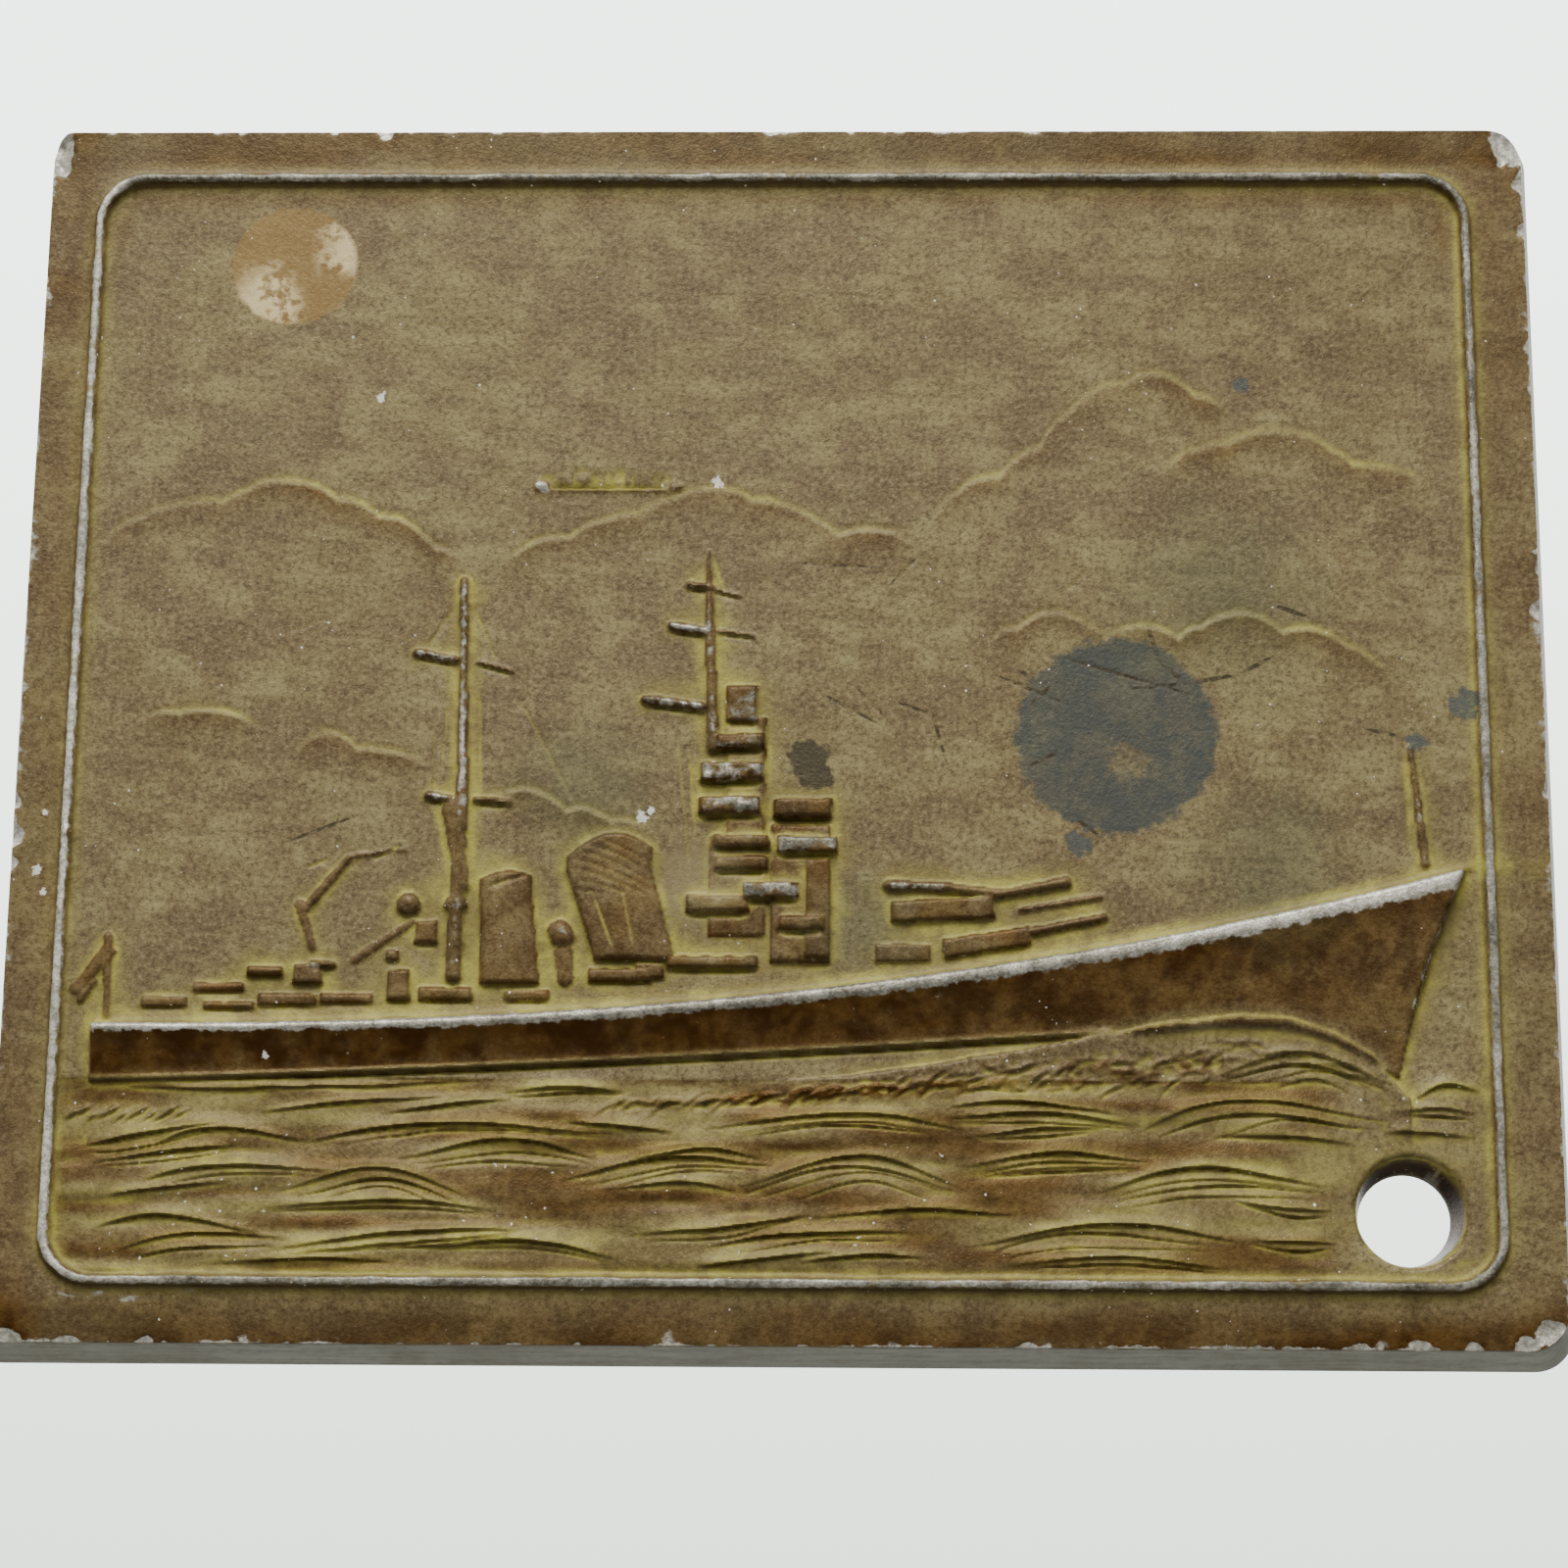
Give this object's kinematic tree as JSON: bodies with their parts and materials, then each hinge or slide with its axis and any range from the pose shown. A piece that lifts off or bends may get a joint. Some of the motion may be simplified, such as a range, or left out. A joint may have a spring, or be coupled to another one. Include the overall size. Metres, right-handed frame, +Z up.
{
  "type": "decorative wall plaque",
  "caption": "Cast metal wall plaque with a warship under way in low relief, framed by a raised bead, with a tapered hole through one lower corner",
  "frame": {"origin": "middle of the flat back, where the plaque is fixed to a wall", "axes": "+Z up the picture, +X to the right as seen from the front, +Y out of the back into the wall; the carved face looks along -Y"},
  "size_m": [0.127, 0.0068, 0.1054],
  "materials": {
    "bronzed_casting": "worn brown bronzing over a grey white-metal casting, olive in the recesses"
  },
  "bodies": {
    "root": {"plaque": "bronzed_casting"}
  },
  "joints": []
}
